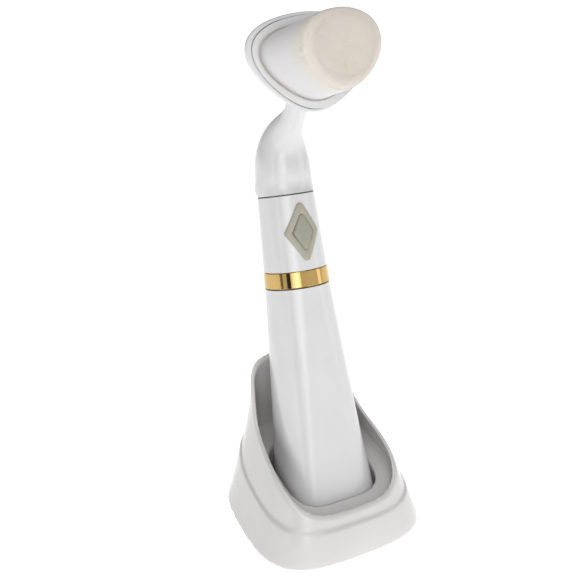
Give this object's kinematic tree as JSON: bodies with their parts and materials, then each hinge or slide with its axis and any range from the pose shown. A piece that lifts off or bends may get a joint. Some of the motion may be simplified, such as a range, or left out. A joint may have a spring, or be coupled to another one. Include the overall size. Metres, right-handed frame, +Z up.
{
  "type": "facial cleansing brush",
  "caption": "Handheld facial cleansing brush with a soft bristle head on a bent neck, leaning in a flared rounded-square stand.",
  "frame": {"origin": "centre of the stand's footprint, on the surface it rests on", "axes": "+Z up, front of the brush (button and bristles) towards -Y, the whole part is mirrored about the plane X = 0"},
  "size_m": [0.0716, 0.0803, 0.1928],
  "materials": {
    "white_gloss": "polished",
    "stand_white": "polished",
    "gold": "polished",
    "key_silicone": "satin",
    "frame_silicone": "satin",
    "seal_rubber": "matt",
    "pad_rubber": "matt",
    "bristle": "fine fibres",
    "resin": "matt",
    "inner_plastic": "matt",
    "board_green": "satin",
    "chip_black": "satin",
    "steel": "plain",
    "contact_brass": "plain",
    "cell_wrap": "satin",
    "motor_metal": "plain"
  },
  "bodies": {
    "stand": {"stand_shell": "stand_white", "stand_base_plate": "steel", "base_pad": "pad_rubber"},
    "cover": {"lower_body": "white_gloss"},
    "handle": {"battery_basket": "inner_plastic", "basket_screw_left": "steel", "basket_screw_right": "steel", "battery_cell": "cell_wrap", "contact_pin": "contact_brass", "return_strip": "contact_brass", "contact_spring": "contact_brass", "mid_housing": "white_gloss", "seal_lower": "seal_rubber", "gold_ring": "gold", "board_tray": "inner_plastic", "circuit_board": "board_green", "controller_chip": "chip_black", "capacitor": "cell_wrap", "supply_socket": "chip_black", "switch_body": "chip_black", "board_screw_upper": "steel", "board_screw_lower": "steel", "button_frame": "frame_silicone", "motor_carrier": "inner_plastic", "motor_end_cap": "inner_plastic", "motor_can": "motor_metal", "motor_sleeve": "seal_rubber", "motor_terminal_left": "contact_brass", "motor_terminal_right": "contact_brass", "seal_upper": "seal_rubber", "neck_shell": "white_gloss"},
    "button": {"button_key": "key_silicone", "switch_plunger": "inner_plastic"},
    "rotor": {"motor_shaft": "steel", "eccentric_weight": "contact_brass"},
    "brush": {"brush_plate": "white_gloss", "tuft_block": "resin", "bristle_tuft": "bristle"}
  },
  "joints": [
    {"name": "handle_lift", "type": "slide", "parent": "stand", "child": "cover", "axis": [0, 0.23, 0.9732], "range_m": [0, 0.09]},
    {"name": "cover_pull", "type": "slide", "parent": "cover", "child": "handle", "axis": [0, 0.2974, 0.9548], "range_m": [0, 0.085]},
    {"name": "button_press", "type": "slide", "parent": "handle", "child": "button", "axis": [0, 0.9548, -0.2974], "range_m": [0, 0.0006], "stiffness_N_per_m": 800, "springref_m": -0.0004},
    {"name": "motor_spin", "type": "hinge", "parent": "handle", "child": "rotor", "pos_m": [0, 0.03616, 0.13152], "axis": [0, 0.2974, 0.9548], "continuous": true},
    {"name": "brush_release", "type": "slide", "parent": "handle", "child": "brush", "axis": [0, -0.9816, 0.1908], "range_m": [0, 0.02]}
  ]
}
